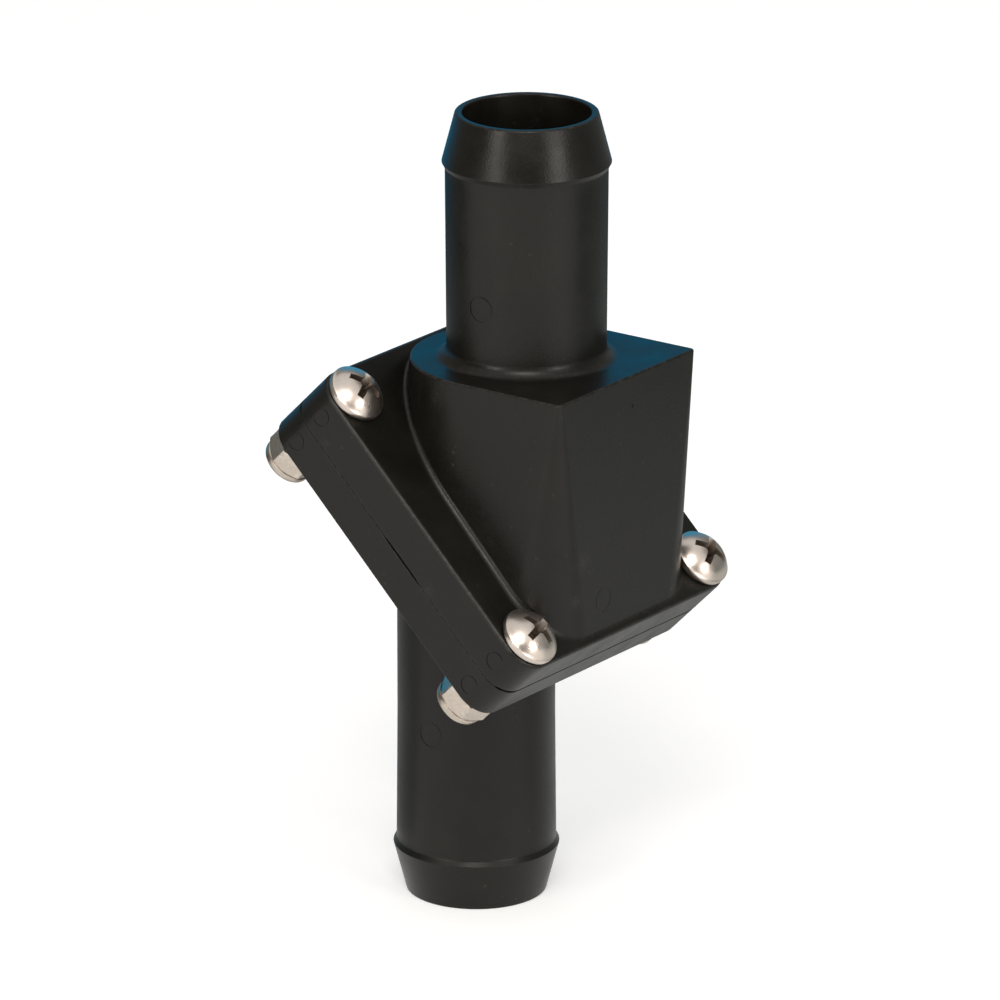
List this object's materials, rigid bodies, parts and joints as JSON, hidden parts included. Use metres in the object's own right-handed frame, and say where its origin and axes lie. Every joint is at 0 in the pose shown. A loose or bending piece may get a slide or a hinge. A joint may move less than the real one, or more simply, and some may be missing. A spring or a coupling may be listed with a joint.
{
  "type": "non-return valve",
  "caption": "Plastic swing check valve with a rubber flap on a 45 degree seat, offset barbed hose tails and a bolted sloping flange joint.",
  "frame": {"origin": "centre of the inlet hose tail's mouth", "axes": "+Z along the flow, up both hose tails; +X from the inlet axis to the outlet axis, down the sloping flange joint"},
  "size_m": [0.0534, 0.056, 0.1298],
  "materials": {
    "black_plastic": "satin black glass-filled moulding",
    "black_rubber": "matt black nitrile rubber",
    "stainless_plate": "brushed stainless steel",
    "stainless_fastener": "bright rolled stainless steel",
    "nylon": "natural nylon"
  },
  "bodies": {
    "housing": {"inlet_body": "black_plastic", "outlet_body": "black_plastic", "gasket": "black_rubber", "flap_hinge_web": "black_rubber", "flange_screw_1": "stainless_fastener", "lock_nut_1": "stainless_fastener", "nut_ring_1": "nylon", "flange_screw_2": "stainless_fastener", "lock_nut_2": "stainless_fastener", "nut_ring_2": "nylon", "flange_screw_3": "stainless_fastener", "lock_nut_3": "stainless_fastener", "nut_ring_3": "nylon", "flange_screw_4": "stainless_fastener", "lock_nut_4": "stainless_fastener", "nut_ring_4": "nylon"},
    "flap": {"flap": "black_rubber", "flap_weight": "stainless_plate", "flap_backing_plate": "stainless_plate", "flap_screw": "stainless_fastener", "flap_nut": "stainless_fastener"}
  },
  "joints": [
    {"name": "flap_swing", "type": "hinge", "parent": "housing", "child": "flap", "pos_m": [0.01485, 0, 0.05351], "axis": [0, 1, 0], "range_deg": [0, 58], "stiffness_Nm_per_rad": 0.002, "deforming": ["flap_hinge_web"]}
  ]
}
